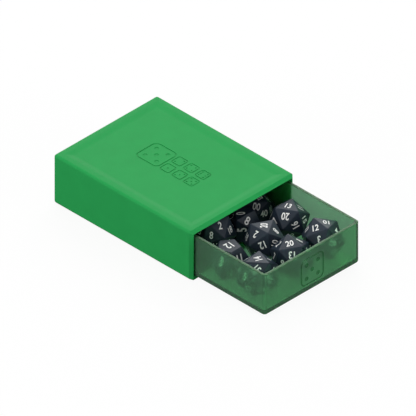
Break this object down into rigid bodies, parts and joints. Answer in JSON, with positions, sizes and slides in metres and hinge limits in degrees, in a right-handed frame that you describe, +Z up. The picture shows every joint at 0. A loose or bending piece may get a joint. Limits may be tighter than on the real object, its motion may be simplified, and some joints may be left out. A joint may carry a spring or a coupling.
{
  "type": "dice storage chest",
  "caption": "Matchbox-style dice chest: an opaque sleeve with a sloped shallow field on top and a translucent drawer tray half pulled out, filled with a set of dice.",
  "frame": {"origin": "centre of the flat underside of the sleeve, on the surface that it stands on", "axes": "+Z up; the drawer tray slides out toward -Y along the sleeve's length; +X to the right of somebody who faces the front of the drawer"},
  "size_m": [0.0816, 0.1627, 0.0326],
  "materials": {
    "sleeve": "satin opaque green",
    "tray": "frosted translucent green",
    "dice": "satin charcoal with light numerals"
  },
  "bodies": {
    "sleeve": {"sleeve": "sleeve"},
    "drawer": {"drawer_tray": "tray", "d20_first": "dice", "d20_second": "dice", "d20_third": "dice", "d20_fourth": "dice", "d20_fifth": "dice", "d20_sixth": "dice", "d12_first": "dice", "d10_units": "dice", "d10_tens": "dice", "d8_first": "dice", "d6_first": "dice", "d4_first": "dice"}
  },
  "joints": [
    {"name": "drawer_slide", "type": "slide", "parent": "sleeve", "child": "drawer", "axis": [0, -1, 0], "range_m": [-0.0544, 0.04]}
  ]
}
